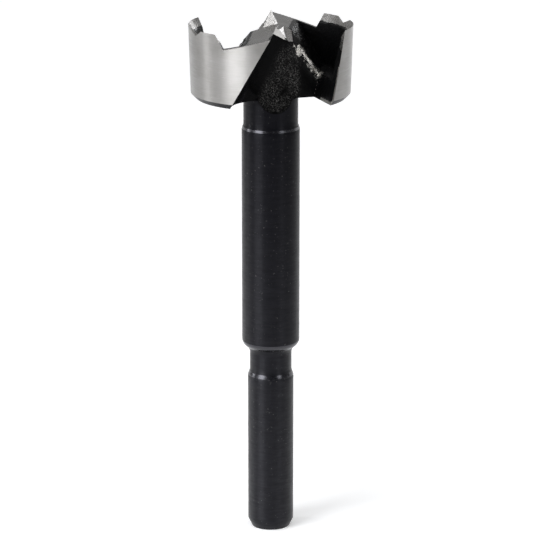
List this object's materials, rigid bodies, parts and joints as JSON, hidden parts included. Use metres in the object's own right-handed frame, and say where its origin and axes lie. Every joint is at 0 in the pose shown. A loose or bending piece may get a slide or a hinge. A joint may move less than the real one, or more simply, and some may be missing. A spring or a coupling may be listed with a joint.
{
  "type": "forstner bit",
  "caption": "Boring bit for flat-bottomed holes: toothed rim, ground lips with chip flutes, short centre point, slim neck and round shank.",
  "frame": {"origin": "centre of the flat end of the shank", "axes": "+Z along the bit's axis towards the centre point; the two cutting lips run parallel to Y"},
  "size_m": [0.028, 0.028, 0.0923],
  "materials": {
    "tool_steel": "ground bright on the cutting head, satin black oxide on the flutes, neck and shank"
  },
  "bodies": {
    "root": {"forstner_bit": "tool_steel"}
  },
  "joints": []
}
